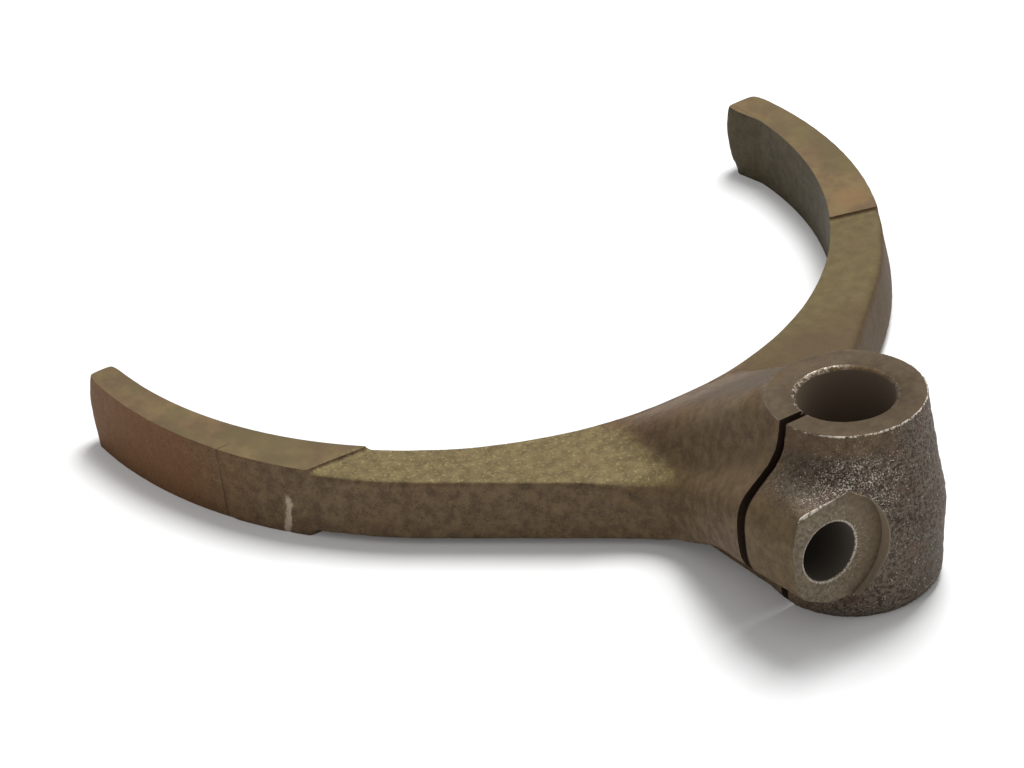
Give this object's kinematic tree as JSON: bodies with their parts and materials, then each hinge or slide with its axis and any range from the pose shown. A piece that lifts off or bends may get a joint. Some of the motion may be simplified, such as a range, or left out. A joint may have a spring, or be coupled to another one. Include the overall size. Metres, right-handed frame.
{
  "type": "selector fork",
  "caption": "Cast fork whose curved arms end in machined pads, with a split clamp hub for a round rail and a spot-faced seat for its pinch bolt.",
  "frame": {"origin": "on the rail bore's axis, at the hub's lower face", "axes": "+Z along the rail bore, from the arms' side up to the ring face; +Y from the rail towards the fork's open end; the split clamp ear is on the -X side"},
  "size_m": [0.1243, 0.1163, 0.0298],
  "materials": {
    "casting": "as cast and oxidised brown, machined and worn on the pads, ring and spot face"
  },
  "bodies": {
    "root": {"selector_fork": "casting"}
  },
  "joints": []
}
